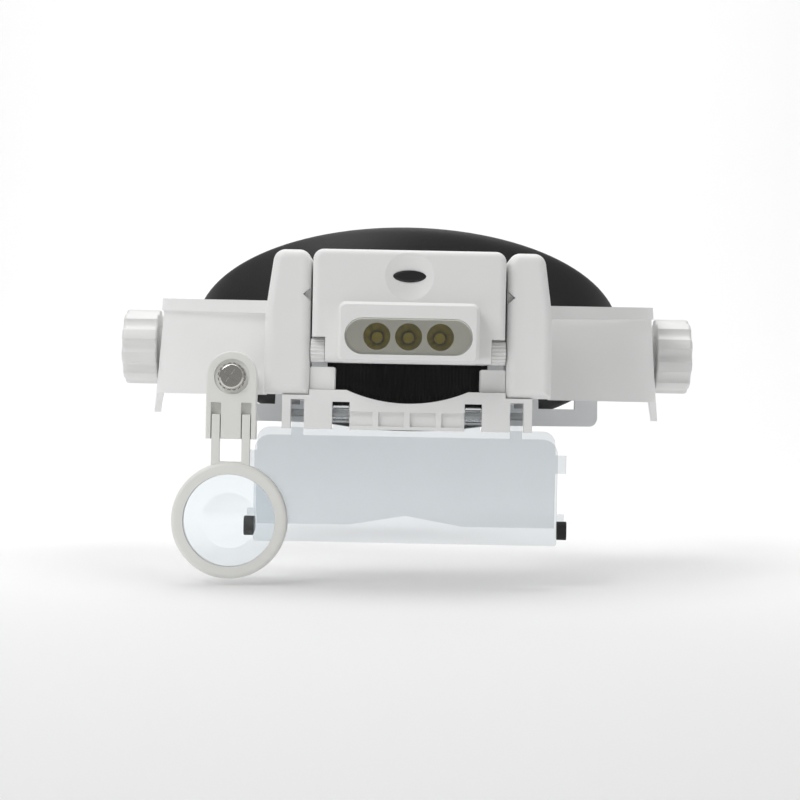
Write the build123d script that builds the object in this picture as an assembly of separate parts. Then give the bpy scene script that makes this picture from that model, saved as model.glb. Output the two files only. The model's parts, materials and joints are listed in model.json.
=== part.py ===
from build123d import *
import math
import os

# Head visor magnifier. Millimetres, +Z up, front of the visor towards -Y.
# The origin is the middle of the line through the two temple pivots.

os.makedirs("parts", exist_ok=True)

# Driving dimensions -------------------------------------------------------
FIT = 0.05                      # radial clearance of a running fit

BAND_A, BAND_B, BAND_CY = 89.0, 85.0, -5.0   # outer half axes of the front band, its centre in Y
BAND_T = 2.5                    # band wall
ARM_HALF_H, ARM_END = 9.0, 58.0
LEAN, LEAN_Z = 0.14, -30.0      # the brow leans back this much per mm above this height
FRAME_X, FRAME_Z0, FRAME_Z1 = 69.4, -27.5, 14.0
PAD_X, PAD_HALF_Z, PAD_Z, PAD_T = 84.5, 36.0, 6.0, 7.0

STRAP_X, STRAP_T, STRAP_HALF_H = 86.2, 2.0, 7.0
STRAP_Y0, STRAP_CY, STRAP_B = 24.0, 70.0, 52.0
HOUSING_X, HOUSING_Z = 26.0, 11.0
HOUSING_Y0, HOUSING_Y1 = 116.45, 126.0
SCREW_SPOTS = [(x, z) for x in (-21.4, 21.4) for z in (-8.5, 8.5)]
DIAL_R, DIAL_Y0, DIAL_Y1 = 17.0, 126.3, 136.0
PINION_R = 3.5

BOLT_R, BOLT_HEAD_R = 3.0, 7.0
KNOB_R, KNOB_X0, KNOB_X1, KNOB_LOBES = 14.6, 97.5, 111.0, 10

WING_A, WING_B, WING_POWER = 95.0, 112.0, 2.3
WING_TOP, WING_SLOPE, LEDGE_H, WING_LOW, WING_TAB = 19.2, 0.055, 4.4, -18.3, -25.5
WING_END_R = 16.5
WING_FLARE = 0.077              # outward lean of the wing ends per mm of drop
WING_T, LIP = 2.2, 0.8          # wall, and how far the top lip stands proud
WING_SCOOPS = [(24.0, 0.5), (12.0, 0.9), (6.0, 3.2), (-1.0, 4.9), (-9.0, 4.6), (-19.0, 2.2), (-29.0, 0.4)]
TOWER_X0, TOWER_X1, TOWER_Y0, TOWER_Y1 = 32.5, 47.5, -118.0, -97.0
TOWER_Z0, TOWER_Z1, TOWER_T = -18.0, 30.0, 2.2

LAMP_X, LAMP_Y0, LAMP_Y1, LAMP_Z0, LAMP_Z1, LAMP_T = 31.7, -122.0, -102.0, -7.0, 30.0, 1.8
LAMP_AXIS_Y, LAMP_AXIS_Z, HUB_R, HUB_X0 = -114.2, -3.2, 4.0, 27.6
BLOCK_X, BLOCK_Y, BLOCK_Z0, BLOCK_Z1 = 22.9, -130.0, -7.3, 12.4
LED_Z, LED_PITCH, CUP_R, CHIP_R = 1.3, 10.3, 4.9, 1.8
WINDOW_L, WINDOW_H = 41.2, 11.6
BUTTON_L, BUTTON_H, BUTTON_Z = 10.5, 3.6, 21.4
CELL_R, CELL_Y, CELL_L = 5.2, -107.4, 43.5
CELL_Z = (1.0, 11.6, 22.2)

PIN_Y, PIN_Z, PIN_R = -114.0, -24.0, 1.25     # axis that both lens plates hang on
CARRIER_X, CARRIER_Z0, CARRIER_Z1 = 41.3, -29.2, -16.2
ARCH_R, ARCH_Z = 50.4, 30.0
INNER_LUG, OUTER_LUG = (19.3, 24.4), (34.3, 38.1)
FRONT_X, FRONT_Y0, FRONT_Y1, FRONT_Z0, FRONT_Z1 = 50.0, -117.2, -114.9, -66.5, -31.4
REAR_X, REAR_Y0, REAR_Y1, REAR_Z0, REAR_Z1 = 49.5, -112.6, -110.4, -60.9, -28.8

LOUPE_X, LOUPE_Z = -57.5, -12.6
BRACKET_Y0, BRACKET_Y1, BRACKET_R, BRACKET_LOW = -123.0, -119.6, 8.3, -33.0
PRONG_X, PRONG_W, SLOT_W = 4.95, 2.7, 3.3
RING_Z, RING_R, RING_BORE = -59.6, 19.05, 15.1
RING_Y0, RING_Y1 = -123.9, -119.5
DOME_R, DOME_RISE = 90.0, 1.26


# Small builders -------------------------------------------------------------
def box(x0, x1, y0, y1, z0, z1):
    """Axis-aligned block between the given limits."""
    centre = Pos((x0 + x1) / 2, (y0 + y1) / 2, (z0 + z1) / 2)
    return centre * Box(abs(x1 - x0), abs(y1 - y0), abs(z1 - z0))


def rod_x(r, x0, x1, y=0.0, z=0.0):
    """Cylinder along X."""
    return Pos((x0 + x1) / 2, y, z) * Rot(0, 90, 0) * Cylinder(r, abs(x1 - x0))


def rod_y(r, y0, y1, x=0.0, z=0.0):
    """Cylinder along Y."""
    return Pos(x, (y0 + y1) / 2, z) * Rot(90, 0, 0) * Cylinder(r, abs(y1 - y0))


def front_prism(face, y0, y1):
    """Extrude a face drawn in X and Z between two Y planes."""
    return extrude(Plane.XZ.offset(-y1) * face, amount=y1 - y0)


def side_prism(face, x0, x1):
    """Extrude a face drawn in Y and Z between two X planes."""
    return extrude(Plane.YZ.offset(x0) * face, amount=x1 - x0)


def plan_prism(face, z0, z1):
    """Extrude a face drawn in X and Y between two Z planes."""
    return extrude(Plane.XY.offset(z0) * face, amount=z1 - z0)


def polygon(*points):
    """Closed face through the points."""
    return make_face(Polyline(*points, close=True))


def flipped(shape):
    """The same shape on the other side of the wearer's head."""
    return mirror(shape, about=Plane.YZ)


def both_sides(shape):
    """The shape and its mirror image together."""
    return shape + flipped(shape)


def save(name, shape):
    """Write one node of the assembly."""
    export_step(shape, f"parts/{name}.step")


# Headband ---------------------------------------------------------------------
def band_plan(inset, lean=0.0):
    """Plan of the band: half an ellipse in front, straight sides behind it."""
    a, b = BAND_A - inset, BAND_B - inset - lean
    front = Pos(0, BAND_CY) * Ellipse(a, b)
    sides = Pos(0, BAND_CY + 50) * Rectangle(2 * a, 100)
    return front + sides


def band_wall(inset, thickness, z0, z1):
    """Wall that follows the band plan and leans back towards the top of the brow."""
    def solid(offset):
        sections = [Plane.XY.offset(z) * band_plan(offset, LEAN * (z - LEAN_Z)) for z in (z0, z1)]
        return loft(sections, ruled=True)
    return solid(inset) - solid(inset + thickness)


def band_frame():
    """Open frame in front of the pad, with the temple arms."""
    height = FRAME_Z1 - FRAME_Z0
    plate = Pos(0, (FRAME_Z0 + FRAME_Z1) / 2) * RectangleRounded(2 * FRAME_X, height, 3.2)
    arms = Rectangle(2 * BAND_A, 2 * ARM_HALF_H)
    side_hole = polygon((46.5, -21.4), (60.2, -21.4), (61.1, 6.0), (45.6, 6.0))
    side_hole = side_hole + mirror(side_hole, about=Plane.YZ)
    centre_hole = Pos(0, -6.5) * RectangleRounded(56, 31, 3)
    profile = plate + arms - side_hole - centre_hole
    front = band_wall(0, BAND_T, -40, 40) & front_prism(profile, -100, -18)
    side = band_wall(0, BAND_T, -40, 40) & box(-100, 100, -20, ARM_END, -ARM_HALF_H, ARM_HALF_H)
    holes = rod_x(BOLT_R + FIT, -95, 95)
    return front + side - holes


def forehead_pad():
    """Padded oval that rests on the brow."""
    oval = Pos(0, PAD_Z) * Ellipse(PAD_X, PAD_HALF_Z)
    wall = band_wall(BAND_T + 0.05, PAD_T, -40, 50)
    return wall & front_prism(oval, -100, -22)


def strap_keeper():
    """Loop on the right temple arm that the rear strap slides through."""
    outer = box(BAND_A - BAND_T - 4.3, BAND_A - BAND_T, 44, 56, -ARM_HALF_H, ARM_HALF_H)
    slot_h = STRAP_HALF_H + 0.1
    return outer - box(STRAP_X - STRAP_T - 0.1, 90, 40, 60, -slot_h, slot_h)


def strap_plan(grow=0.0):
    """Plan of the rear strap loop."""
    def area(inset):
        a, b = STRAP_X - inset, STRAP_B - inset
        bow = (Pos(0, STRAP_CY) * Ellipse(a, b)) & (Pos(0, STRAP_CY + 50) * Rectangle(400, 100))
        return bow + Pos(0, (STRAP_Y0 + STRAP_CY) / 2) * Rectangle(2 * a, STRAP_CY - STRAP_Y0)
    return area(-grow) - area(STRAP_T + grow)


def rear_strap(side):
    """One strap: straight along the temple, bowed behind, with a toothed tail."""
    half = plan_prism(strap_plan(), -STRAP_HALF_H, STRAP_HALF_H)
    half = half & box(20 * side, 100 * side, 0, 140, -10, 10)
    z0, z1 = (4.0, STRAP_HALF_H) if side > 0 else (-STRAP_HALF_H, -4.0)
    tail = plan_prism(strap_plan(), z0, z1) & box(-16 * side, 20.5 * side, 100, 140, -10, 10)
    edge = z0 if side > 0 else z1
    teeth = [box(x, x + 0.7, 110, 130, edge - 0.5, edge + 0.5) for x in range(-14, 15, 2)]
    return half + tail - Compound(children=teeth)


def rear_housing():
    """Cover behind the head that the strap tails run in."""
    height = 2 * HOUSING_Z
    shell = front_prism(RectangleRounded(2 * HOUSING_X, height, 6), HOUSING_Y0, HOUSING_Y1)
    back = shell.faces().sort_by(Axis.Y)[-1]
    shell = fillet(back.edges(), 1.5)
    cavity = front_prism(RectangleRounded(2 * HOUSING_X - 4, height - 4, 4), HOUSING_Y0 - 1, HOUSING_Y1 - 2)
    passage = plan_prism(strap_plan(0.15), -STRAP_HALF_H - 0.15, STRAP_HALF_H + 0.15)
    shell -= cavity
    for x, z in SCREW_SPOTS:
        shell += rod_y(1.3, HOUSING_Y0, HOUSING_Y1 - 1.9, x, z)
    for x, z in SCREW_SPOTS:
        shell -= rod_y(0.75, HOUSING_Y0 - 1, 121.5, x, z)
    return shell - passage - rod_y(PINION_R + 0.6, 110, 130)


def housing_plate():
    """Inner cover of the rear housing, next to the head."""
    plate = front_prism(RectangleRounded(2 * HOUSING_X, 2 * HOUSING_Z, 6), 114.5, HOUSING_Y0 - FIT)
    for x, z in SCREW_SPOTS:
        plate -= rod_y(0.75, 110, 120, x, z)
    return plate


def housing_screws():
    """Four small screws that close the rear housing."""
    return Compound(children=[rod_y(0.72, 114.6, 121.0, x, z) for x, z in SCREW_SPOTS])


def rear_pad():
    """Soft rest behind the head, hollowed to the skull."""
    pad = front_prism(RectangleRounded(68, 28, 10), 100, 114.4)
    return pad - Pos(0, 14, 0) * Cylinder(95, 60)


def rear_dial():
    """Fluted adjusting wheel with its pinion shaft."""
    flutes = [Pos(19.2 * math.cos(t), 19.2 * math.sin(t)) * Circle(3.2)
              for t in (math.radians(360 / 14 * i) for i in range(14))]
    face = Circle(DIAL_R)
    for flute in flutes:
        face -= flute
    wheel = front_prism(face, DIAL_Y0, DIAL_Y1)
    wheel = chamfer(wheel.faces().sort_by(Axis.Y)[-1].edges(), 1.2)
    wheel -= rod_y(9.5, DIAL_Y1 - 1.2, DIAL_Y1 + 1)
    teeth = Circle(PINION_R - 0.6)
    for i in range(10):
        teeth += Rot(0, 0, 36 * i) * Pos(PINION_R - 0.6, 0) * Rectangle(1.2, 0.9)
    return wheel + front_prism(teeth, 117.5, DIAL_Y0)


# Temple pivots (drawn on the right, mirrored for the left) ---------------------------
def pivot_bolt():
    """Low-headed bolt that both temple arms carry."""
    return rod_x(BOLT_HEAD_R, 83.4, 86.45) + rod_x(BOLT_R, 86.4, 105.0)


def friction_washer():
    """Washer between the temple arm and the visor boss."""
    return rod_x(8.0, 89.05, 90.0) - rod_x(BOLT_R + FIT, 85, 95)


def knob_washer():
    """Metal washer under the knob."""
    return rod_x(6.5, 95.05, 96.0) - rod_x(BOLT_R + FIT, 90, 100)


def tilt_knob():
    """Lobed hand knob that clamps the visor."""
    face = Circle(KNOB_R)
    for i in range(KNOB_LOBES):
        t = 2 * math.pi * i / KNOB_LOBES
        face -= Pos(17.4 * math.cos(t), 17.4 * math.sin(t)) * Circle(4.0)
    knob = side_prism(face, KNOB_X0, KNOB_X1)
    knob = fillet(knob.faces().sort_by(Axis.X)[-1].edges(), 1.4)
    knob = fillet(knob.faces().sort_by(Axis.X)[0].edges(), 0.8)
    knob += rod_x(8.5, 96.05, KNOB_X0 + 0.1)
    insert = side_prism(RegularPolygon(5.5, 6), 98.0, 106.0)
    return knob - insert - rod_x(BOLT_R + FIT, 90, 106) - rod_x(9.6, KNOB_X1 - 0.8, KNOB_X1 + 2)


def knob_insert():
    """Brass nut moulded into the knob."""
    return side_prism(RegularPolygon(5.5, 6), 98.0, 105.95) - rod_x(BOLT_R + FIT, 90, 110)


# Visor shell --------------------------------------------------------------------------
def wing_section(a, b, z):
    """Plan of the visor at one height: a rounded brow with straight temples."""
    n = 10
    right = []
    for i in range(n + 1):
        t = math.pi / 2 * i / n
        x = a * math.cos(t) ** (2 / WING_POWER) if i < n else 0.0
        y = -b * math.sin(t) ** (2 / WING_POWER)
        right.append((x, y))
    left = [(-x, y) for x, y in reversed(right[:-1])]
    brow = Spline(*(right + left), tangents=[(0, -1), (0, 1)])
    rear = Polyline((-a, 0), (-a, 20), (a, 20), (a, 0))
    return Plane.XY.offset(z) * make_face(brow + rear)


def wing_surface(inset, scoops):
    """Solid inside the visor's brow; each scoop is a height and how far the brow is drawn in there."""
    sections = []
    for z, scoop in scoops:
        a = WING_A + (16 - z) * WING_FLARE - inset
        sections.append(wing_section(a, WING_B - scoop - inset, z))
    return loft(sections)


def wing_profile_side():
    """Outline of the wing ends seen from the side."""
    top = WING_TOP - 130 * WING_SLOPE
    nose = polygon((-130, top), (-2, WING_TOP), (8, 14.4), (0, -WING_END_R), (-8, -16), (-15, WING_TAB),
                   (-24, WING_TAB), (-34, WING_LOW), (-130, WING_LOW))
    return nose + Circle(WING_END_R)


def wings():
    """Both wings of the visor as one thin shell without the middle."""
    ledge = WING_TOP - LEDGE_H
    above = polygon((-130, ledge - 130 * WING_SLOPE), (30, ledge + 30 * WING_SLOPE), (30, 30), (-130, 30))
    lip = wing_surface(0, [(22, 0), (4, 0)]) & side_prism(above, -110, 110)
    shell = wing_surface(LIP, WING_SCOOPS) + lip - wing_surface(WING_T + LIP, WING_SCOOPS)
    shell -= box(-TOWER_X0 - 4, TOWER_X0 + 4, -130, 30, -40, 40)
    shell = shell & side_prism(wing_profile_side(), -110, 110)
    shell -= box(-91.0, 91.0, -130, 30, -40, WING_LOW)
    return shell


def tower():
    """Right-hand tower beside the lamp: a hollow post open at the back."""
    outline = polygon((TOWER_X0, TOWER_Z0), (TOWER_X0, TOWER_Z1), (44.6, TOWER_Z1),
                      (46.8, 14), (TOWER_X1, 8), (TOWER_X1, TOWER_Z0))
    body = front_prism(outline, TOWER_Y0, TOWER_Y1)
    top = body.edges().filter_by(Axis.Y).sort_by(Axis.Z)[-2:]
    body = fillet(top, 4.0)
    front = body.faces().sort_by(Axis.Y)[0]
    body = fillet(front.edges(), 3.0)
    hollow = box(TOWER_X0 + TOWER_T, 44.4, TOWER_Y0 + TOWER_T, TOWER_Y1 + 5,
                 TOWER_Z0 + TOWER_T, TOWER_Z1 - 4)
    notch = front_prism(polygon((32, 12.5), (32, 18), (35, 15.2)), -125, -114)
    return body - hollow - notch


def visor_shell():
    """Wings, towers and the bridge behind the lamp, moulded in one piece."""
    shell = wings()
    keep_out = box(TOWER_X0 + TOWER_T, 44.4, -130, -90, TOWER_Z0 + TOWER_T, TOWER_Z1 - 4)
    shell -= both_sides(keep_out)
    shell += both_sides(tower())
    shell += box(-TOWER_X0 - 0.5, TOWER_X0 + 0.5, -99.4, TOWER_Y1, 4, 26)
    shell += both_sides(rod_x(9.0, 90.1, 95.0))
    shell -= both_sides(rod_x(9.0, 95.0, 100.0))
    shell -= rod_x(BOLT_R + FIT, -100, 100)
    shell -= rod_x(1.53, -36, 36, LAMP_AXIS_Y, LAMP_AXIS_Z)
    shell -= box(-48, 48, -130, -90, -40, TOWER_Z0)
    shell -= both_sides(Pos(38, -106, -17) * Cylinder(1.03, 4))
    shell -= rod_y(1.6, -112, -80, LOUPE_X, LOUPE_Z)
    return shell


def tower_cover():
    """Cover that closes the back of the right tower."""
    cover = box(TOWER_X0 + TOWER_T + FIT, 44.35, -99.2, TOWER_Y1, TOWER_Z0 + TOWER_T + FIT, 25.95)
    return cover - rod_y(1.0, -105, -90, 39.5, 20) - rod_y(1.0, -105, -90, 39.5, -10)


def tower_screws():
    """Self-tapping screws of both tower covers."""
    one = rod_y(0.97, -104, -97.0, 39.5, 20) + rod_y(0.97, -104, -97.0, 39.5, -10)
    return both_sides(one)


# Lens carrier and lens plates -----------------------------------------------------------
def lens_carrier():
    """Arched rail under the window with the knuckles for the lens pins."""
    face = polygon((-CARRIER_X, CARRIER_Z0), (CARRIER_X, CARRIER_Z0), (CARRIER_X, -18.05),
                   (32.4, -18.05), (32.4, CARRIER_Z1), (-32.4, CARRIER_Z1), (-32.4, -18.05),
                   (-CARRIER_X, -18.05))
    face -= Pos(0, ARCH_Z) * Circle(ARCH_R)
    for lo, hi, top in ((INNER_LUG[0] - 0.3, INNER_LUG[1] + 0.3, -20.2),
                        (OUTER_LUG[0] - 0.3, OUTER_LUG[1] + 0.3, -19.6)):
        for side in (-1, 1):
            face -= Pos(side * (lo + hi) / 2, (top + CARRIER_Z0) / 2 - 1) * Rectangle(hi - lo, top - CARRIER_Z0 + 2)
    bar = front_prism(face, -117.5, -115.0)
    knuckle = Pos(PIN_Y, PIN_Z) * Circle(3.4) + Pos(PIN_Y, (PIN_Z - 18.05) / 2) * Rectangle(5.0, -18.05 - PIN_Z)
    for x0, x1 in ((26.2, 33.8), (38.6, CARRIER_X)):
        bar += both_sides(side_prism(knuckle, x0, x1))
    for i in range(4):
        x = -15.6 + 10.4 * i
        bar -= box(x - 4.2, x + 4.2, -118, -116.2, -28.0, -23.4)
    bar += both_sides(box(35.0, CARRIER_X, -115.1, -102, -19.8, -18.05))
    bar -= both_sides(Pos(38, -106, -19) * Cylinder(1.03, 6))
    bar -= rod_x(PIN_R + 0.02, -50, 50, PIN_Y, PIN_Z)
    return bar


def carrier_screws():
    """Two screws from below that hold the carrier to the towers."""
    one = Pos(38, -106, -17.9) * Cylinder(1.0, 4.0) + Pos(38, -106, -20.6) * Cylinder(2.0, 1.5)
    return both_sides(one)


def lens_pins():
    """White pins that both lens plates hang on."""
    return both_sides(rod_x(PIN_R, 18.8, 41.2, PIN_Y, PIN_Z))


def latch_block():
    """Stop block between the right tower and the window."""
    block = box(24.1, 32.4, -114.8, -106, -16.15, -8.7)
    block = fillet(block.edges().filter_by(Axis.Y), 0.6)
    return block


def front_lens():
    """Outer lens plate with hooks that drop onto the pins."""
    height = FRONT_Z1 - FRONT_Z0
    plate = Pos(0, (FRONT_Z0 + FRONT_Z1) / 2) * Rectangle(2 * FRONT_X, height)
    corners = plate.vertices().sort_by(Axis.Y)
    plate = fillet(corners[2:], 5.0)
    plate = fillet(plate.vertices().sort_by(Axis.Y)[:2], 1.2)
    plate = front_prism(plate, FRONT_Y0, FRONT_Y1)
    hook = box(OUTER_LUG[0], OUTER_LUG[1], -116.4, -112.8, -33.0, -20.2)
    hook -= box(30, 40, PIN_Y - PIN_R - FIT, -100, PIN_Z - PIN_R - FIT, -15)
    tab = box(FRONT_X - 1, 52.4, -116.6, -115.3, -64.0, -56.0)
    return plate + both_sides(hook) + both_sides(tab)


def lens_bumpers():
    """Rubber pills on the lower tabs of the outer lens plate."""
    pill = box(50.1, 53.2, -118.4, -113.6, -64.4, -58.4)
    pill = fillet(pill.edges().filter_by(Axis.X), 1.6)
    pill -= box(49, 52.41, -116.61, -115.29, -65, -55)
    return both_sides(pill)


def rear_lens():
    """Inner lens plate in two optical halves with a notch for the nose."""
    face = polygon((-REAR_X, REAR_Z0), (-19, REAR_Z0), (0, REAR_Z0 + 3.3), (19, REAR_Z0), (REAR_X, REAR_Z0),
                   (REAR_X, REAR_Z1), (-REAR_X, REAR_Z1))
    plate = front_prism(face, REAR_Y0, REAR_Y1)
    plate = fillet(plate.edges().filter_by(Axis.Y).group_by(Axis.Z)[-1], 4.0)
    plate -= box(-0.2, 0.2, REAR_Y1 - 0.4, REAR_Y1 + 1, -70, -20)
    barrel = rod_x(2.7, INNER_LUG[0], INNER_LUG[1], PIN_Y, PIN_Z)
    web = box(INNER_LUG[0], INNER_LUG[1], -113.4, REAR_Y1, -30.5, -25.0)
    lugs = both_sides(barrel + web)
    tab = both_sides(box(REAR_X - 1, 53.3, REAR_Y0, REAR_Y1, -42.7, -36.7))
    return plate + lugs + tab - rod_x(PIN_R + FIT, -30, 30, PIN_Y, PIN_Z)


# Lamp ------------------------------------------------------------------------------------
def lamp_outline(inset):
    """Front outline of the lamp box with room for the hinge hubs."""
    x, z0, z1 = LAMP_X - inset, LAMP_Z0 + inset, LAMP_Z1 - inset
    step_x, step_z = HUB_X0 - 0.3 - inset, LAMP_AXIS_Z + HUB_R + 0.3 + inset
    return polygon((-step_x, z0), (step_x, z0), (step_x, step_z), (x, step_z), (x, z1),
                   (-x, z1), (-x, step_z), (-step_x, step_z))


def lamp_case():
    """Front shell of the lamp box with the raised light block."""
    case = front_prism(lamp_outline(0), LAMP_Y0, LAMP_Y1)
    top = case.edges().filter_by(Axis.Y).group_by(Axis.Z)[-1]
    case = fillet(top, 3.5)
    front = case.faces().sort_by(Axis.Y)[0]
    upper = [e for e in front.edges() if e.center().Z > 2]
    case = fillet(upper, 2.2)
    lower = case.edges().filter_by(Axis.X).filter_by(lambda e: e.center().Z < -6.9 and e.center().Y < -120)
    case = fillet(lower, 2.6)
    middle = Pos(0, (BLOCK_Z0 + BLOCK_Z1) / 2)
    block = front_prism(middle * RectangleRounded(2 * BLOCK_X, BLOCK_Z1 - BLOCK_Z0, 2.5), BLOCK_Y, LAMP_Y0 + 3)
    block = chamfer(block.faces().sort_by(Axis.Y)[0].edges(), 1.0)
    hollow = front_prism(lamp_outline(LAMP_T), LAMP_Y0 + LAMP_T, LAMP_Y1 + 1)
    window = front_prism(Pos(0, LED_Z) * SlotOverall(WINDOW_L + 0.2, WINDOW_H + 0.2), BLOCK_Y - 1, LAMP_Y0 + 4)
    button = Pos(0, BUTTON_Z) * Ellipse(BUTTON_L / 2 + 0.15, BUTTON_H / 2 + 0.15)
    button = front_prism(button, LAMP_Y0 - 1, LAMP_Y0 + 4)
    case -= Pos(0, LAMP_Y0 - 19.2, BUTTON_Z) * Sphere(20.8)
    return case + block - hollow - window - button - rod_x(1.55, -30, 30, LAMP_AXIS_Y, LAMP_AXIS_Z)


def battery_cover():
    """Sliding back of the lamp box with finger grooves."""
    cover = front_prism(lamp_outline(0), LAMP_Y1 + FIT, LAMP_Y1 + 1.8)
    for i in range(5):
        cover -= box(-8, 8, LAMP_Y1 + 1.3, LAMP_Y1 + 3, 16 + 2 * i, 17 + 2 * i)
    return cover


def ratchet_hub():
    """Ribbed click hub at the right end of the lamp."""
    hub = rod_x(HUB_R - 0.4, HUB_X0, 32.2, LAMP_AXIS_Y, LAMP_AXIS_Z)
    for i in range(18):
        t = 2 * math.pi * i / 18
        y = LAMP_AXIS_Y + (HUB_R - 0.45) * math.cos(t)
        z = LAMP_AXIS_Z + (HUB_R - 0.45) * math.sin(t)
        hub += rod_x(0.42, HUB_X0, 32.2, y, z)
    return hub - rod_x(1.55, 20, 40, LAMP_AXIS_Y, LAMP_AXIS_Z)


def lamp_pins():
    """Hinge pins of the lamp, pressed into the towers."""
    return both_sides(rod_x(1.5, 25.6, 35.5, LAMP_AXIS_Y, LAMP_AXIS_Z))


def led_board():
    """Circuit board that carries the light-emitting diodes."""
    return box(-24, 24, -114.6, -113.2, -4.6, 9.6)


def leds():
    """Three diodes in the middle of the reflectors."""
    return Compound(children=[rod_y(CHIP_R, -116.4, -114.65, LED_PITCH * i, LED_Z) for i in (-1, 0, 1)])


def reflector():
    """Row of three bright cups behind the clear window."""
    plate = front_prism(Pos(0, LED_Z) * SlotOverall(WINDOW_L, WINDOW_H), -127.2, -126.2)
    for i in (-1, 0, 1):
        place = Pos(LED_PITCH * i, -121.0, LED_Z) * Rot(90, 0, 0)
        plate += place * Cylinder(CUP_R, 12.4)
    for i in (-1, 0, 1):
        place = Pos(LED_PITCH * i, -121.0, LED_Z) * Rot(90, 0, 0)
        plate -= place * Cone(2.0, CUP_R - 0.5, 12.42)
    return plate


def lamp_window():
    """Clear stadium window over the reflectors."""
    window = front_prism(Pos(0, LED_Z) * SlotOverall(WINDOW_L, WINDOW_H), -129.3, -127.3)
    return chamfer(window.faces().sort_by(Axis.Y)[0].edges(), 0.4)


def battery_cells():
    """Three slim cells lying across the lamp box."""
    cells = []
    for i, z in enumerate(CELL_Z):
        side = 1 if i % 2 else -1
        body = rod_x(CELL_R, -CELL_L / 2, CELL_L / 2, CELL_Y, z)
        cells.append(body + rod_x(1.9, side * (CELL_L / 2 - 0.1), side * (CELL_L / 2 + 1.0), CELL_Y, z))
    return Compound(children=cells)


def battery_contacts():
    """Plates and coil springs at both ends of the cells."""
    contacts = []
    for side in (-1, 1):
        plate = box(side * 24.6, side * 25.1, -112.2, -102.6, -3.4, 26.4)
        for i, z in enumerate(CELL_Z):
            nub = 1 if i % 2 else -1
            if nub != side:
                for k in range(4):
                    turn = Torus(2.6, 0.33)
                    plate += Pos(side * (22.15 + 0.6 * k), CELL_Y, z) * Rot(0, 90, 0) * turn
                plate += rod_x(0.5, side * 22.0, side * 24.7, CELL_Y + 2.6, z)
            else:
                plate += rod_x(1.5, side * 22.8, side * 24.7, CELL_Y, z)
        contacts.append(plate)
    return Compound(children=contacts)


def power_button():
    """Oval push button in the dish of the lamp box."""
    button = front_prism(Pos(0, BUTTON_Z) * Ellipse(BUTTON_L / 2, BUTTON_H / 2), -121.3, -116.0)
    flange = front_prism(Pos(0, BUTTON_Z) * Ellipse(BUTTON_L / 2 + 1, BUTTON_H / 2 + 1), -119.3, -118.3)
    button = fillet(button.faces().sort_by(Axis.Y)[0].edges(), 0.5)
    return button + flange


def push_switch():
    """Switch behind the button."""
    return box(-4, 4, -115.1, -112.8, 18.4, 24.4)


# Swing-out loupe -----------------------------------------------------------------------------
def loupe_post(shell):
    """Stand-off that carries the loupe in front of the left wing."""
    post = Pos(LOUPE_X, -101.75, LOUPE_Z) * Rot(90, 0, 0) * Cone(5.4, 4.9, 35.5)
    post -= shell + rod_y(1.6, -130, -80, LOUPE_X, LOUPE_Z)
    return post.solids().sort_by(Axis.Y)[0]


def loupe_bracket():
    """Forked plate that swings on the screw."""
    centre_z = (LOUPE_Z + BRACKET_LOW) / 2
    face = Pos(LOUPE_X, LOUPE_Z) * Circle(BRACKET_R)
    face += Pos(LOUPE_X, centre_z) * Rectangle(2 * BRACKET_R, LOUPE_Z - BRACKET_LOW)
    bracket = front_prism(face, BRACKET_Y0, BRACKET_Y1)
    bracket = fillet(bracket.faces().sort_by(Axis.Y)[0].edges(), 0.5)
    for side in (-1, 1):
        x = LOUPE_X + side * PRONG_X
        bracket -= box(x - SLOT_W / 2, x + SLOT_W / 2, -124, -120.5, -40, -21.1)
    bracket -= rod_y(5.7, -124, -122.3, LOUPE_X, LOUPE_Z)
    return bracket - rod_y(1.65, -130, -110, LOUPE_X, LOUPE_Z)


def loupe_screw():
    """Cross-headed pivot screw of the loupe."""
    screw = rod_y(1.58, -123.2, -106, LOUPE_X, LOUPE_Z)
    head = rod_y(4.1, -125.0, -123.1, LOUPE_X, LOUPE_Z)
    head = fillet(head.faces().sort_by(Axis.Y)[0].edges(), 0.7)
    cross = box(-2.6, 2.6, -126, -124.1, -0.5, 0.5) + box(-0.5, 0.5, -126, -124.1, -2.6, 2.6)
    return screw + head - Pos(LOUPE_X, 0, LOUPE_Z) * Rot(0, 35, 0) * cross


def loupe_washer():
    """Toothed washer under the screw head."""
    face = Circle(4.6)
    for i in range(16):
        face -= Rot(0, 0, 22.5 * i) * Pos(4.7, 0) * Rectangle(1.3, 0.8)
    washer = front_prism(Pos(LOUPE_X, LOUPE_Z) * face, -123.05, -122.35)
    return washer - rod_y(1.65, -130, -110, LOUPE_X, LOUPE_Z)


def loupe_frame():
    """Round lens frame with the two prongs that slide in the bracket."""
    middle = (RING_Y0 + RING_Y1) / 2
    ring = rod_y(RING_R, RING_Y0, RING_Y1, LOUPE_X, RING_Z)
    ring = fillet(ring.edges(), 1.4)
    neck = box(LOUPE_X - 6.3, LOUPE_X + 6.3, -122.9, -120.6, -43.5, -40.4)
    for side in (-1, 1):
        x = LOUPE_X + side * PRONG_X
        neck += box(x - PRONG_W / 2, x + PRONG_W / 2, -122.9, -120.6, -43.0, -24.9)
    seat = rod_y(16.0, middle - 0.6, RING_Y1 + 1, LOUPE_X, RING_Z)
    return ring + neck - rod_y(RING_BORE, -130, -110, LOUPE_X, RING_Z) - seat


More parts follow.
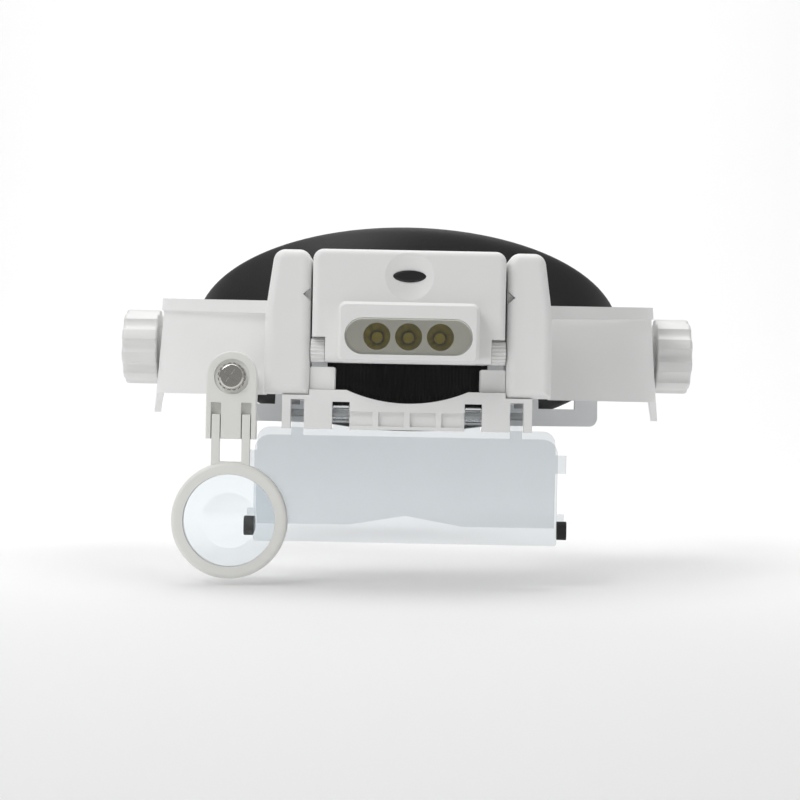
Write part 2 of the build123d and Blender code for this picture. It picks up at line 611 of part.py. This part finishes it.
def loupe_lens():
    """Round magnifying lens: a thin rim with a dome on either side."""
    seat = (RING_Y0 + RING_Y1) / 2 - 0.58
    lens = rod_y(15.9, seat, seat + 1.2, LOUPE_X, RING_Z)
    for face_y, centre_y in ((seat, DOME_R - DOME_RISE), (seat + 1.2, DOME_RISE - DOME_R)):
        ball = Pos(LOUPE_X, face_y + centre_y, RING_Z) * Sphere(DOME_R)
        lens += ball & rod_y(15.0, face_y - 2, face_y + 2, LOUPE_X, RING_Z) & rod_y(15.0, seat - 2, seat + 3.2,
                                                                                    LOUPE_X, RING_Z)
    return lens


def loupe_retainer():
    """Thin ring that holds the lens in its frame."""
    seat = (RING_Y0 + RING_Y1) / 2 + 0.65
    ring = rod_y(15.95, seat, seat + 0.9, LOUPE_X, RING_Z)
    return ring - rod_y(15.05, -130, -110, LOUPE_X, RING_Z)


# Assembly ---------------------------------------------------------------------------------------
shell = visor_shell()

nodes = {
    "band_frame": band_frame(),
    "forehead_pad": forehead_pad(),
    "rear_housing": rear_housing(),
    "housing_plate": housing_plate(),
    "housing_screws": housing_screws(),
    "rear_pad": rear_pad(),
    "rear_dial": rear_dial(),
    "left_rear_strap": rear_strap(-1),
    "right_rear_strap": rear_strap(1),
    "visor_shell": shell,
    "tower_screws": tower_screws(),
    "lens_carrier": lens_carrier(),
    "carrier_screws": carrier_screws(),
    "lens_pins": lens_pins(),
    "front_lens": front_lens(),
    "lens_bumpers": lens_bumpers(),
    "rear_lens": rear_lens(),
    "lamp_case": lamp_case(),
    "battery_cover": battery_cover(),
    "lamp_pins": lamp_pins(),
    "led_board": led_board(),
    "leds": leds(),
    "reflector": reflector(),
    "lamp_window": lamp_window(),
    "battery_cells": battery_cells(),
    "battery_contacts": battery_contacts(),
    "power_button": power_button(),
    "push_switch": push_switch(),
    "loupe_post": loupe_post(shell),
    "loupe_bracket": loupe_bracket(),
    "loupe_screw": loupe_screw(),
    "loupe_washer": loupe_washer(),
    "loupe_frame": loupe_frame(),
    "loupe_lens": loupe_lens(),
    "loupe_retainer": loupe_retainer(),
}

for name, builder in {
    "strap_keeper": strap_keeper,
    "pivot_bolt": pivot_bolt,
    "friction_washer": friction_washer,
    "knob_washer": knob_washer,
    "tilt_knob": tilt_knob,
    "knob_insert": knob_insert,
    "tower_cover": tower_cover,
    "latch_block": latch_block,
    "ratchet_hub": ratchet_hub,
}.items():
    right = builder()
    nodes["right_" + name] = right
    nodes["left_" + name] = flipped(right)

for name, shape in nodes.items():
    save(name, shape)
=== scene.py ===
"""Head visor magnifier: finishes, soft pads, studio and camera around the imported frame."""

import json
import logging
import math
from dataclasses import dataclass, field
from enum import Enum

import bmesh
import bpy
from mathutils import Matrix, Vector

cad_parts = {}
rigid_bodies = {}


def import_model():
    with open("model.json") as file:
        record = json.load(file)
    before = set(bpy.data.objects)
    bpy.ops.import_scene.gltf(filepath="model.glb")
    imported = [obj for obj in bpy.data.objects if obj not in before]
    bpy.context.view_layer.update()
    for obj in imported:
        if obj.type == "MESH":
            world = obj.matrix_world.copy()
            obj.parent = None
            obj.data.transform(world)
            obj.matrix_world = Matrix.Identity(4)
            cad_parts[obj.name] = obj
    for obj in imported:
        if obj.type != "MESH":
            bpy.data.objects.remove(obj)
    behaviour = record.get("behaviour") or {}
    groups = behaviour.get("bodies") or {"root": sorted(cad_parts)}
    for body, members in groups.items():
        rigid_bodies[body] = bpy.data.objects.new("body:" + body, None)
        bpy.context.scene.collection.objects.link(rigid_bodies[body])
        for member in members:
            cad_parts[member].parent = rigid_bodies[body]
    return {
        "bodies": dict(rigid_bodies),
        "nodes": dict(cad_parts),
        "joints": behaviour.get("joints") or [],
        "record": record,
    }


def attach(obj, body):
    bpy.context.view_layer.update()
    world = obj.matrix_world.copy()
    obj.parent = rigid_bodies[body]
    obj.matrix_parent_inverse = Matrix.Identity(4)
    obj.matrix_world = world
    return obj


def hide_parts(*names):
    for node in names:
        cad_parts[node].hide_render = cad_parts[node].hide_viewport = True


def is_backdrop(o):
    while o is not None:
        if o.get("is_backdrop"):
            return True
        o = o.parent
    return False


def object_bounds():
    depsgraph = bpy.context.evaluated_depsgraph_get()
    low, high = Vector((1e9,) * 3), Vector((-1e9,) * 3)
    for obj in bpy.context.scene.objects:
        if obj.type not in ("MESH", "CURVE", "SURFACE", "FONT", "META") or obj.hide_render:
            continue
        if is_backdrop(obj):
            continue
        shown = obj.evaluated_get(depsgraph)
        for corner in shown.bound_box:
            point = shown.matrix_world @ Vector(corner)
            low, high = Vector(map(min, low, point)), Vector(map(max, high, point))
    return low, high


LOG = logging.getLogger("visor_magnifier")
MM = 0.001
CLOUD_SCALE = 60.0          # tone clouds about 17 mm across
ROUGHNESS_SWING = 0.04      # how far the roughness wanders either way
BUMP_STRENGTH = 0.6
WAVE_BANDS = 0.32           # wave texture scale that gives one band per unit of length
WELD_DISTANCE = 0.02 * MM   # points of a cushion's two faces that count as one
SENSOR_WIDTH = 36.0         # camera sensor in millimetres


# Small helpers ---------------------------------------------------------------------------
def srgb(code: str) -> tuple[float, float, float, float]:
    """Turn an sRGB hex value into a linear colour.

    Args:
        code: six hex digits with a leading hash.

    Returns:
        Linear red, green, blue and an alpha of one.
    """
    def linear(part: str) -> float:
        """Undo the sRGB curve for one channel.

        Args:
            part: the channel's two hex digits.

        Returns:
            The linear value.
        """
        value = int(part, 16) / 255
        return value / 12.92 if value <= 0.04045 else ((value + 0.055) / 1.055) ** 2.4

    digits = code.lstrip("#")
    return (linear(digits[0:2]), linear(digits[2:4]), linear(digits[4:6]), 1.0)


def add_node(tree: bpy.types.NodeTree, kind: str, settings: dict | None = None,
             links: dict | None = None) -> bpy.types.Node:
    """Add one shader node.

    Args:
        tree: the node tree to add to.
        kind: the node's Blender type name.
        settings: attributes, or input values where the key is an input's name.
        links: input name to the output socket that feeds it.

    Returns:
        The new node.
    """
    node = tree.nodes.new(kind)
    for key, value in (settings or {}).items():
        if key in node.inputs:
            node.inputs[key].default_value = value
        else:
            setattr(node, key, value)
    for key, socket in (links or {}).items():
        tree.links.new(socket, node.inputs[key])
    return node


class Process(Enum):
    """How a surface was made, which sets the pattern it carries."""

    MOULDED = "moulded"
    POLISHED = "polished"
    LEATHER_GRAIN = "leather_grain"
    RIBBED_KNIT = "ribbed_knit"
    TUMBLED = "tumbled"


# Finishes ----------------------------------------------------------------------------------
@dataclass(frozen=True)
class Finish:
    """One real material and the way its surface was made.

    The pattern is a fine relief whose pitch is a real size in millimetres.
    """

    name: str
    colour: str
    roughness: float
    process: Process = Process.MOULDED
    ior: float = 1.5
    metallic: float = 0.0
    transmission: float = 0.0
    grain_mm: float = 0.5
    relief_mm: float = 0.01
    tone_change: float = 0.03
    coat: float = 0.0
    edge_mm: float = 0.0

    def pattern(self, tree: bpy.types.NodeTree, place: bpy.types.NodeSocket) -> bpy.types.NodeSocket:
        """Height pattern of the process.

        Args:
            tree: the material's node tree.
            place: coordinates in metres.

        Returns:
            The socket that carries the height.
        """
        scale = 1.0 / (self.grain_mm * MM)
        if self.process is Process.LEATHER_GRAIN:
            cells = add_node(tree, "ShaderNodeTexVoronoi", {"Scale": scale, "feature": "SMOOTH_F1"},
                             {"Vector": place})
            return cells.outputs["Distance"]
        if self.process is Process.RIBBED_KNIT:
            ribs = add_node(tree, "ShaderNodeTexWave",
                            {"Scale": scale * WAVE_BANDS, "bands_direction": "X", "Distortion": 0.6,
                             "Detail Scale": 2.0}, {"Vector": place})
            return ribs.outputs["Fac"]
        noise = add_node(tree, "ShaderNodeTexNoise", {"Scale": scale, "Detail": 4.0, "Roughness": 0.6},
                         {"Vector": place})
        return noise.outputs["Fac"]

    def build(self) -> bpy.types.Material:
        """Make the Blender material.

        Returns:
            The finished material.
        """
        material = bpy.data.materials.new(self.name)
        material.use_nodes = True
        tree = material.node_tree
        tree.nodes.clear()
        place = add_node(tree, "ShaderNodeTexCoord").outputs["Object"]
        height = self.pattern(tree, place)
        clouds = add_node(tree, "ShaderNodeTexNoise", {"Scale": CLOUD_SCALE, "Detail": 3.0},
                          {"Vector": place})
        dark = tuple(c * (1 - self.tone_change) for c in srgb(self.colour)[:3]) + (1.0,)
        tone = add_node(tree, "ShaderNodeMix", {"data_type": "RGBA"}, {"Factor": clouds.outputs["Fac"]})
        tone.inputs[6].default_value = dark
        tone.inputs[7].default_value = srgb(self.colour)
        spread = add_node(tree, "ShaderNodeMapRange",
                          {"To Min": max(0.02, self.roughness - ROUGHNESS_SWING),
                           "To Max": self.roughness + ROUGHNESS_SWING},
                          {"Value": clouds.outputs["Fac"]})
        bump_links = {"Height": height}
        if self.edge_mm > 0:
            soft = add_node(tree, "ShaderNodeBevel", {"Radius": self.edge_mm * MM, "samples": 4})
            bump_links["Normal"] = soft.outputs["Normal"]
        bump = add_node(tree, "ShaderNodeBump",
                        {"Strength": BUMP_STRENGTH, "Distance": self.relief_mm * MM}, bump_links)
        shader = add_node(tree, "ShaderNodeBsdfPrincipled",
                          {"Metallic": self.metallic, "IOR": self.ior,
                           "Transmission Weight": self.transmission, "Coat Weight": self.coat},
                          {"Base Color": tone.outputs[2], "Roughness": spread.outputs["Result"],
                           "Normal": bump.outputs["Normal"]})
        add_node(tree, "ShaderNodeOutputMaterial", links={"Surface": shader.outputs["BSDF"]})
        return material


# ABS, injection moulded in a spark-eroded tool: a satin skin with a fine even grain.
ABS_SATIN = Finish("abs_moulded_satin_white", "#f3f3f2", 0.46, ior=1.53, grain_mm=0.55, relief_mm=0.035,
                   tone_change=0.025, edge_mm=0.35)
# ABS, moulded smoother and a little warmer: a soft cream sheen.
ABS_CREAM = Finish("abs_moulded_cream", "#eeeeea", 0.38, ior=1.53, grain_mm=0.7, relief_mm=0.015,
                   tone_change=0.02, edge_mm=0.3)
# Polypropylene, moulded: a duller, greyer white that stays flexible.
POLYPROPYLENE = Finish("polypropylene_moulded_grey_white", "#dcdee0", 0.5, ior=1.49, grain_mm=0.8,
                       relief_mm=0.02,
                       tone_change=0.03, edge_mm=0.25)
# ABS knob, moulded semi-gloss: broad soft highlights down each lobe.
ABS_KNOB = Finish("abs_moulded_knob_grey_white", "#e6e6e5", 0.34, ior=1.53, grain_mm=0.9, relief_mm=0.012,
                  tone_change=0.02, edge_mm=0.35)
# Polyurethane leatherette, embossed: tiny pebbles 0.8 mm apart with a dull sheen.
LEATHERETTE = Finish("polyurethane_leatherette_embossed_black", "#232323", 0.52, Process.LEATHER_GRAIN,
                     ior=1.5,
                     grain_mm=0.8, relief_mm=0.08, tone_change=0.18)
# Polyester rib knit: upright ribs drawn 1.2 mm apart, a little coarser than real so that they show.
RIB_KNIT = Finish("polyester_rib_knit_black", "#151515", 0.85, Process.RIBBED_KNIT, ior=1.5, grain_mm=1.2,
                  relief_mm=0.25, tone_change=0.2)
# PMMA, moulded and polished: clear with a cool tint through its thickness.
ACRYLIC = Finish("pmma_polished_clear", "#e4e7e9", 0.06, Process.POLISHED, ior=1.49, transmission=1.0,
                 grain_mm=9.0, relief_mm=0.004, tone_change=0.03)
# Polycarbonate window, moulded and polished: thin enough to look colourless, with a hard highlight.
WINDOW_CLEAR = Finish("polycarbonate_polished_clear", "#fbfcfc", 0.05, Process.POLISHED, ior=1.58,
                      transmission=1.0, grain_mm=8.0, relief_mm=0.002, tone_change=0.01)
# Optical crown glass, ground and polished: nearly colourless with a hard clean highlight.
CROWN_GLASS = Finish("crown_glass_polished", "#eef3f6", 0.04, Process.POLISHED, ior=1.52, transmission=1.0,
                     grain_mm=12.0, relief_mm=0.001, tone_change=0.01)
# Natural rubber, moulded: matt black with no sheen.
RUBBER = Finish("rubber_moulded_black", "#161616", 0.72, ior=1.52, grain_mm=0.4, relief_mm=0.02,
                tone_change=0.1)
# ABS button, moulded in black: satin against the white case.
ABS_BLACK = Finish("abs_moulded_black", "#141416", 0.4, ior=1.53, grain_mm=0.5, relief_mm=0.01,
                   tone_change=0.08)
# Steel, nickel and chrome plated: bright mirror with sharp dark reflections.
CHROME = Finish("steel_chrome_plated", "#d6d4ce", 0.12, Process.POLISHED, metallic=1.0, grain_mm=2.0,
                relief_mm=0.004, tone_change=0.05)
# Steel, zinc plated and tumbled: grey, slightly cloudy metal.
ZINC_STEEL = Finish("steel_zinc_plated", "#b3b4b6", 0.34, Process.TUMBLED, metallic=1.0, grain_mm=1.0,
                    relief_mm=0.01, tone_change=0.1)
# Nylon washer, turned: translucent-looking off-white.
NYLON = Finish("nylon_turned_natural", "#e4dfcf", 0.45, ior=1.53, grain_mm=0.6, relief_mm=0.01)
# Brass insert, turned: warm yellow metal.
BRASS = Finish("brass_turned", "#c9a55a", 0.3, Process.TUMBLED, metallic=1.0, grain_mm=0.8, relief_mm=0.01,
               tone_change=0.08)
# Plastic reflector, vacuum metallised: bright olive-tinted mirror inside the cups.
REFLECTOR = Finish("polycarbonate_vacuum_metallised", "#efede0", 0.3, Process.POLISHED, metallic=1.0,
                   grain_mm=2.0,
                   relief_mm=0.006, tone_change=0.12)
# Phosphor-filled silicone over the diode: dense greenish yellow.
PHOSPHOR = Finish("silicone_phosphor_yellow", "#e2cf3c", 0.35, ior=1.42, grain_mm=0.4, relief_mm=0.01,
                  tone_change=0.15)
# Glass-epoxy circuit board with a white solder mask.
SOLDER_MASK = Finish("epoxy_board_white_mask", "#dcdcd2", 0.45, ior=1.5, grain_mm=0.5, relief_mm=0.01)
# Cell sleeve: shrunk PVC film over the can.
PVC_SLEEVE = Finish("pvc_sleeve_dark_grey", "#30343a", 0.3, ior=1.52, grain_mm=3.0, relief_mm=0.01)


@dataclass
class FinishShelf:
    """Builds each finish once and gives it to objects."""

    made: dict[str, bpy.types.Material] = field(default_factory=dict)

    def material(self, finish: Finish) -> bpy.types.Material:
        """The material of a finish, made on first use.

        Args:
            finish: the finish wanted.

        Returns:
            Its material.
        """
        if finish.name not in self.made:
            self.made[finish.name] = finish.build()
        return self.made[finish.name]

    def dress(self, obj: bpy.types.Object, finish: Finish) -> None:
        """Give an object one finish all over.

        Args:
            obj: the mesh object.
            finish: the finish it takes.
        """
        if not obj.data.materials:
            obj.data.materials.append(self.material(finish))
        for index in range(len(obj.data.materials)):
            obj.data.materials[index] = self.material(finish)


# Sub-assemblies ------------------------------------------------------------------------------
@dataclass
class SubAssembly:
    """A group of CAD nodes with the finish of each."""

    frame: dict
    shelf: FinishShelf
    finishes: dict[Finish, tuple[str, ...]] = field(default_factory=dict)

    def dress_nodes(self) -> None:
        """Put the finishes on the CAD nodes and log each one."""
        for finish, names in self.finishes.items():
            for name in names:
                self.shelf.dress(self.frame["nodes"][name], finish)
                LOG.info("%s: %s", name, finish.name)


def sides(*names: str) -> tuple[str, ...]:
    """Left and right names of paired nodes.

    Args:
        names: node names without their side.

    Returns:
        Each name with left and with right before it.
    """
    return tuple(f"{side}_{name}" for name in names for side in ("left", "right"))


def mesh_object(name: str, verts: list[Vector], faces: list[tuple[int, ...]]) -> bpy.types.Object:
    """Make a smooth-shaded mesh object.

    Args:
        name: the object's name.
        verts: its points in metres.
        faces: its faces as point numbers.

    Returns:
        The object, linked to the scene.
    """
    data = bpy.data.meshes.new(name)
    data.from_pydata([tuple(v) for v in verts], [], faces)
    work = bmesh.new()
    work.from_mesh(data)
    bmesh.ops.recalc_face_normals(work, faces=work.faces)
    work.to_mesh(data)
    work.free()
    for face in data.polygons:
        face.use_smooth = True
    obj = bpy.data.objects.new(name, data)
    bpy.context.scene.collection.objects.link(obj)
    return obj


def close_cushion(cushion: bpy.types.Object) -> bpy.types.Object:
    """Weld a cushion's two faces at the rim and turn its normals outwards.

    Args:
        cushion: the cushion's mesh object.

    Returns:
        The same object.
    """
    work = bmesh.new()
    work.from_mesh(cushion.data)
    bmesh.ops.remove_doubles(work, verts=work.verts, dist=WELD_DISTANCE)
    bmesh.ops.recalc_face_normals(work, faces=work.faces)
    work.to_mesh(cushion.data)
    work.free()
    return cushion


@dataclass
class ForeheadPad:
    """Leatherette cushion: an oval that follows the band, thin at its rim."""

    half_width: float = 84.3
    half_height: float = 36.0
    centre_z: float = 6.0
    band_a: float = 86.4
    band_b: float = 82.4
    band_y: float = -5.0
    thickness: float = 6.9
    lean: float = 0.14
    lean_from_z: float = -30.0
    rings: int = 22
    spokes: int = 120

    def point(self, rho: float, phi: float, depth: float) -> Vector:
        """A point of the pad.

        Args:
            rho: zero at the middle, one at the rim.
            phi: angle round the oval in radians.
            depth: distance in from the band in millimetres.

        Returns:
            The point in metres.
        """
        x = self.half_width * rho * math.cos(phi)
        z = self.centre_z + self.half_height * rho * math.sin(phi)
        t = math.asin(max(-1.0, min(1.0, x / self.band_a)))
        band_b = self.band_b - self.lean * (z - self.lean_from_z)
        normal = Vector((-math.sin(t) / self.band_a, math.cos(t) / band_b, 0)).normalized()
        on_band = Vector((self.band_a * math.sin(t), self.band_y - band_b * math.cos(t), z))
        return (on_band + normal * depth) * MM

    def build(self) -> bpy.types.Object:
        """Close the crowned front and back faces into one cushion.

        Returns:
            The cushion object.
        """
        verts: list[Vector] = []
        faces: list[tuple[int, ...]] = []
        middle = self.thickness / 2
        for side in (-1, 1):
            start = len(verts)
            verts.append(self.point(0, 0, middle + side * middle))
            for i in range(1, self.rings + 1):
                rho = math.sin(math.pi / 2 * i / self.rings)
                half = middle * math.sqrt(max(0.0, 1 - rho ** 7))
                for j in range(self.spokes):
                    phi = 2 * math.pi * j / self.spokes
                    verts.append(self.point(rho, phi, middle + side * half))
            for j in range(self.spokes):
                k = (j + 1) % self.spokes
                faces.append((start, start + 1 + j, start + 1 + k))
                for i in range(self.rings - 1):
                    a = start + 1 + i * self.spokes
                    b = a + self.spokes
                    faces.append((a + j, b + j, b + k, a + k))
        return close_cushion(mesh_object("forehead_cushion", verts, faces))


@dataclass
class RearPad:
    """Leatherette rest behind the head."""

    half_width: float = 33.8
    half_height: float = 13.8
    back_y: float = 114.3
    skull_r: float = 95.0
    skull_y: float = 14.0
    rings: int = 16
    spokes: int = 80

    def build(self) -> bpy.types.Object:
        """Make the crowned rest.

        Returns:
            The rest object.
        """
        verts: list[Vector] = []
        faces: list[tuple[int, ...]] = []
        for side in (0, 1):
            start = len(verts)
            for i in range(self.rings + 1):
                rho = math.sin(math.pi / 2 * i / self.rings)
                for j in range(self.spokes):
                    phi = 2 * math.pi * j / self.spokes
                    c, s = math.cos(phi), math.sin(phi)
                    x = self.half_width * rho * math.copysign(abs(c) ** 0.6, c)
                    z = self.half_height * rho * math.copysign(abs(s) ** 0.6, s)
                    inner = self.skull_y + math.sqrt(self.skull_r ** 2 - x * x)
                    mid = (inner + self.back_y) / 2
                    half = (self.back_y - inner) / 2 * math.sqrt(max(0.0, 1 - rho ** 9))
                    verts.append(Vector((x, mid + (half if side else -half), z)) * MM)
            for i in range(self.rings):
                a = start + i * self.spokes
                for j in range(self.spokes):
                    k = (j + 1) % self.spokes
                    faces.append((a + j, a + self.spokes + j, a + self.spokes + k, a + k))
        return close_cushion(mesh_object("rear_cushion", verts, faces))


@dataclass
class Headband(SubAssembly):
    """Front frame, temple arms, pivots and the forehead cushion."""

    pad: ForeheadPad = field(default_factory=ForeheadPad)
    knit_half_width: float = 27.0
    knit_top: float = 4.0

    def build(self) -> None:
        """Dress the band and fit the cushion with its knit patch."""
        self.finishes = {
            POLYPROPYLENE: ("band_frame", *sides("strap_keeper")),
            ZINC_STEEL: sides("pivot_bolt", "knob_washer"),
            NYLON: sides("friction_washer"),
        }
        self.dress_nodes()
        cushion = self.pad.build()
        cushion.data.materials.append(self.shelf.material(LEATHERETTE))
        cushion.data.materials.append(self.shelf.material(RIB_KNIT))
        self.lay_knit(cushion)
        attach(cushion, "headband")
        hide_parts("forehead_pad")
        LOG.info("forehead_cushion: %s", LEATHERETTE.name)


    def lay_knit(self, cushion: bpy.types.Object) -> None:
        """Cut the cushion along the patch's outline and give the visor side inside it the knit.

        Args:
            cushion: the cushion, with the knit as its second material.
        """
        work = bmesh.new()
        work.from_mesh(cushion.data)
        cuts = [((side * self.knit_half_width * MM, 0, 0), (1, 0, 0)) for side in (-1, 1)]
        cuts.append(((0, 0, self.knit_top * MM), (0, 0, 1)))
        for place, normal in cuts:
            parts = [*work.verts, *work.edges, *work.faces]
            bmesh.ops.bisect_plane(work, geom=parts, plane_co=place, plane_no=normal)
        for face in work.faces:
            middle = face.calc_center_median()
            inside = abs(middle.x) < self.knit_half_width * MM and middle.z < self.knit_top * MM
            face.material_index = 1 if inside and face.normal.y < 0 else 0
        work.to_mesh(cushion.data)
        work.free()


@dataclass
class RearCradle(SubAssembly):
    """Straps, housing, dial and rear rest."""

    pad: RearPad = field(default_factory=RearPad)

    def build(self) -> None:
        """Dress the rear parts and fit the rest."""
        self.finishes = {
            POLYPROPYLENE: ("left_rear_strap", "right_rear_strap", "rear_housing", "housing_plate"),
            ABS_KNOB: ("rear_dial",),
            ZINC_STEEL: ("housing_screws",),
        }
        self.dress_nodes()
        rest = self.pad.build()
        self.shelf.dress(rest, LEATHERETTE)
        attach(rest, "rear_cradle")
        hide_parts("rear_pad")
        LOG.info("rear_cushion: %s", LEATHERETTE.name)


@dataclass
class Visor(SubAssembly):
    """Shell, lens carrier, covers and clamp knobs."""

    def build(self) -> None:
        """Dress the visor."""
        self.finishes = {
            ABS_SATIN: ("visor_shell", "lens_carrier", "lens_pins", *sides("tower_cover", "latch_block")),
            ABS_KNOB: sides("tilt_knob"),
            BRASS: sides("knob_insert"),
            ZINC_STEEL: ("tower_screws", "carrier_screws", "lamp_pins"),
        }
        self.dress_nodes()


@dataclass
class LensPlates(SubAssembly):
    """The two clear lens plates and their rubber pills."""

    def build(self) -> None:
        """Dress the lens plates."""
        self.finishes = {ACRYLIC: ("front_lens", "rear_lens"), RUBBER: ("lens_bumpers",)}
        self.dress_nodes()


@dataclass
class LampBox(SubAssembly):
    """Tilting lamp with its cells, switch and light block."""

    def build(self) -> None:
        """Dress the lamp."""
        self.finishes = {
            ABS_SATIN: ("lamp_case", "battery_cover", *sides("ratchet_hub")),
            WINDOW_CLEAR: ("lamp_window",),
            REFLECTOR: ("reflector",),
            PHOSPHOR: ("leds",),
            SOLDER_MASK: ("led_board",),
            PVC_SLEEVE: ("battery_cells",),
            ZINC_STEEL: ("battery_contacts",),
            ABS_BLACK: ("power_button", "push_switch"),
        }
        self.dress_nodes()


@dataclass
class Loupe(SubAssembly):
    """Swing-out loupe on the left wing."""

    def build(self) -> None:
        """Dress the loupe."""
        self.finishes = {
            ABS_SATIN: ("loupe_post",),
            ABS_CREAM: ("loupe_bracket", "loupe_frame", "loupe_retainer"),
            CROWN_GLASS: ("loupe_lens",),
            CHROME: ("loupe_screw", "loupe_washer"),
        }
        self.dress_nodes()


# Studio -----------------------------------------------------------------------------------------
@dataclass
class Studio:
    """Pale curved sweep, soft lamps and the camera."""

    low: Vector
    lens_mm: float = 79.5
    camera_at: tuple[float, float, float] = (-2.4, -700.0, -19.2)
    roll_deg: float = 1.1

    def sweep(self, shelf: FinishShelf) -> None:
        """Floor that curves up into a back wall.

        Args:
            shelf: where the paper's finish comes from.
        """
        profile = [(-3.0, 0.0), (0.6, 0.0)]
        profile += [(0.6 + 0.6 * math.sin(t), 0.6 - 0.6 * math.cos(t))
                    for t in (math.pi / 2 * i / 16 for i in range(1, 17))]
        profile.append((1.2, 3.5))
        floor_z = self.low.z - 0.002
        verts = [Vector((x, y, z + floor_z)) for y, z in profile for x in (-4.0, 4.0)]
        faces = [(2 * i, 2 * i + 1, 2 * i + 3, 2 * i + 2) for i in range(len(profile) - 1)]
        paper = mesh_object("studio_sweep", verts, faces)
        shelf.dress(paper, Finish("paper_matt_white", "#f7f7f7", 0.9, grain_mm=2.0, relief_mm=0.001,
                                  tone_change=0.0))
        paper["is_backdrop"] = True

    def lamp(self, name: str, place: tuple[float, float, float], aim: tuple[float, float, float],
             size: float, power: float) -> None:
        """Add one square soft lamp.

        Args:
            name: its name.
            place: where it stands, in metres.
            aim: the point it faces.
            size: its side in metres.
            power: its power in watts.
        """
        data = bpy.data.lights.new(name, "AREA")
        data.size, data.energy = size, power
        obj = bpy.data.objects.new(name, data)
        obj.location = place
        obj.rotation_euler = (Vector(aim) - Vector(place)).to_track_quat("-Z", "Y").to_euler()
        bpy.context.scene.collection.objects.link(obj)

    def build(self, shelf: FinishShelf) -> None:
        """Set up the sweep, lamps, world and camera.

        Args:
            shelf: where the paper's finish comes from.
        """
        self.sweep(shelf)
        self.lamp("key_lamp", (-0.7, -0.9, 0.9), (0, 0, 0), 0.7, 6.5)
        self.lamp("fill_lamp", (1.0, -1.0, 0.3), (0, 0, 0), 0.9, 0.4)
        self.lamp("top_lamp", (0, 0.1, 1.3), (0, 0, 0), 1.0, 2.2)
        self.lamp("wall_lamp", (0, 0.35, 1.1), (0, 1.2, 0.1), 1.4, 11.0)
        world = bpy.data.worlds.new("soft_room")
        world.use_nodes = True
        world.node_tree.nodes["Background"].inputs["Color"].default_value = (1, 1, 1, 1)
        world.node_tree.nodes["Background"].inputs["Strength"].default_value = 0.28
        bpy.context.scene.world = world
        bpy.context.scene.view_settings.view_transform = "Standard"
        data = bpy.data.cameras.new("front_camera")
        data.lens, data.sensor_width = self.lens_mm, SENSOR_WIDTH
        data.clip_start, data.clip_end = 0.01, 20.0
        camera = bpy.data.objects.new("front_camera", data)
        level = Matrix.Rotation(math.radians(90), 4, "X")
        turn = level @ Matrix.Rotation(math.radians(self.roll_deg), 4, "Z")
        camera.matrix_world = Matrix.Translation(Vector(self.camera_at) * MM) @ turn
        bpy.context.scene.collection.objects.link(camera)
        bpy.context.scene.camera = camera


def main() -> None:
    """Load the frame and build each sub-assembly in order."""
    logging.basicConfig(level=logging.INFO, format="%(message)s")
    for leftover in list(bpy.data.objects):
        bpy.data.objects.remove(leftover)
    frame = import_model()
    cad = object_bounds()
    shelf = FinishShelf()
    for assembly in (Headband, RearCradle, Visor, LensPlates, LampBox, Loupe):
        assembly(frame, shelf).build()
        LOG.info("%s done", assembly.__name__)
    Studio(low=cad[0]).build(shelf)


if __name__ == "__main__":
    main()
